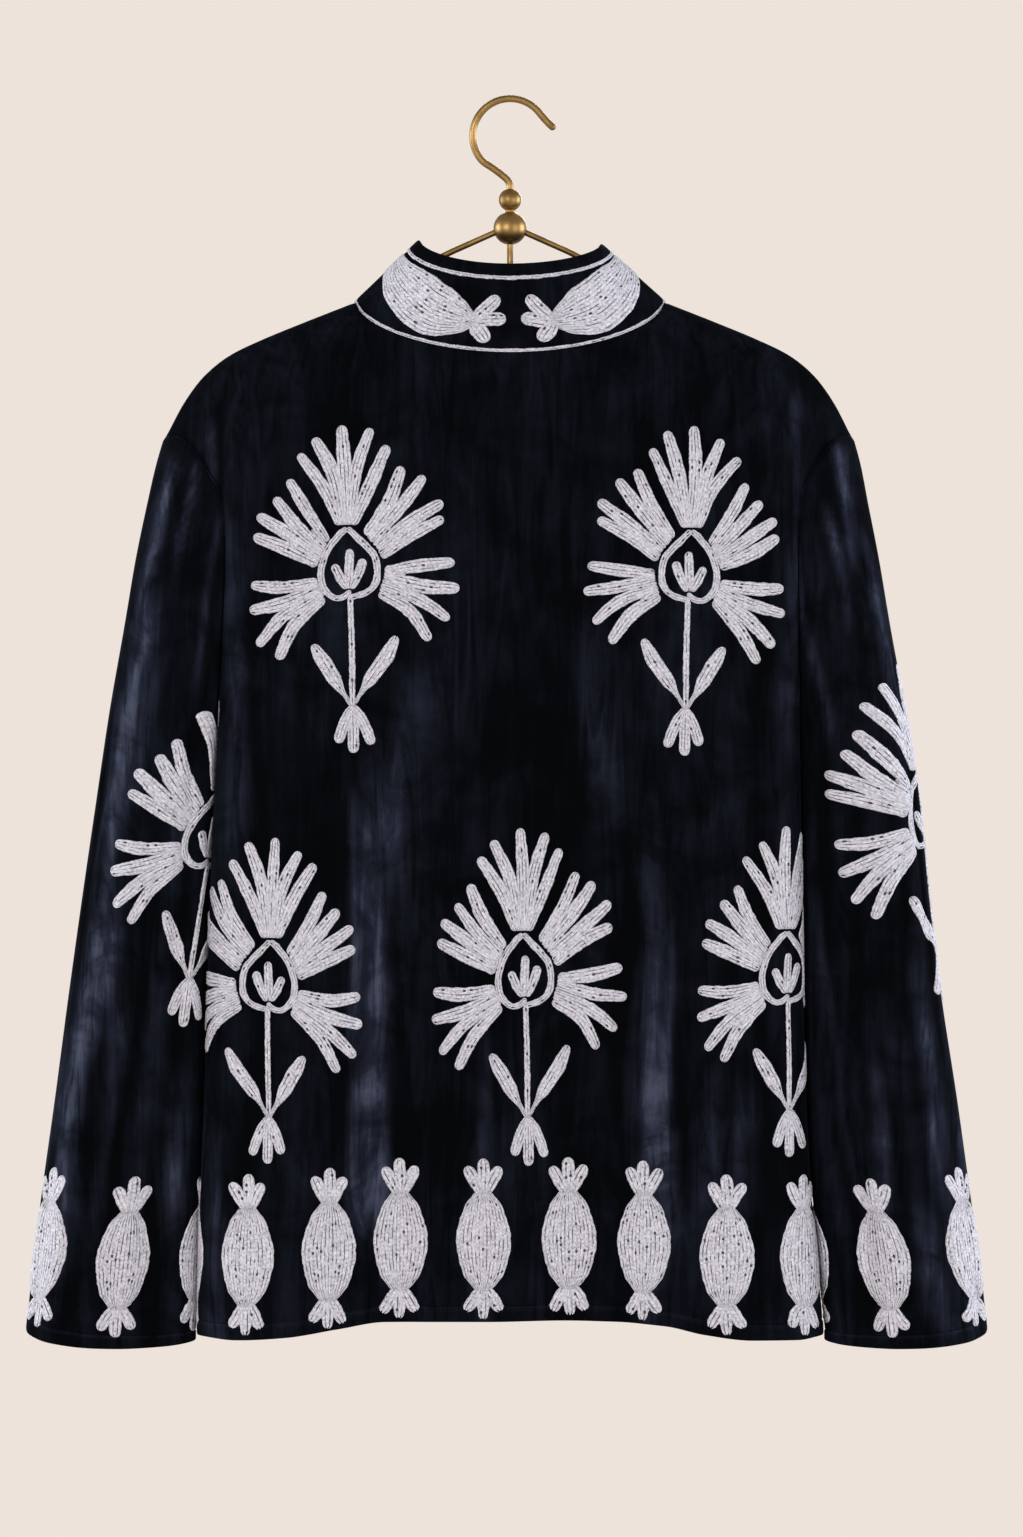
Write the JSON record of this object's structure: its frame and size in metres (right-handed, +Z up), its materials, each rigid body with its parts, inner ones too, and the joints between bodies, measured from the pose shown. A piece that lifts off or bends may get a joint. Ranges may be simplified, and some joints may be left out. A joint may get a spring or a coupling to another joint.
{
  "type": "jacket on a hanger",
  "caption": "Straight velvet jacket with a stand collar and an open front, hanging as a hollow garment on a wire hanger with a hook.",
  "frame": {"origin": "inside top of the hanger's hook, where a rail carries it", "axes": "+Z up, +X to the right as seen from behind the jacket, the back faces -Y and the open front faces +Y"},
  "size_m": [0.6943, 0.0886, 0.9006],
  "materials": {
    "velvet": "midnight blue cut-pile velvet with a soft sheen",
    "embroidery": "pale grey chain stitch in matt thread",
    "brass": "aged satin brass"
  },
  "bodies": {
    "root": {"back": "velvet", "front_left": "velvet", "front_right": "velvet", "sleeve_left": "velvet", "sleeve_right": "velvet", "collar": "velvet", "hanger_hook": "brass", "hanger_balls": "brass", "hanger_bar_left": "brass", "hanger_bar_right": "brass", "hanger_crossbar": "brass", "hanger_post": "brass"}
  },
  "joints": []
}
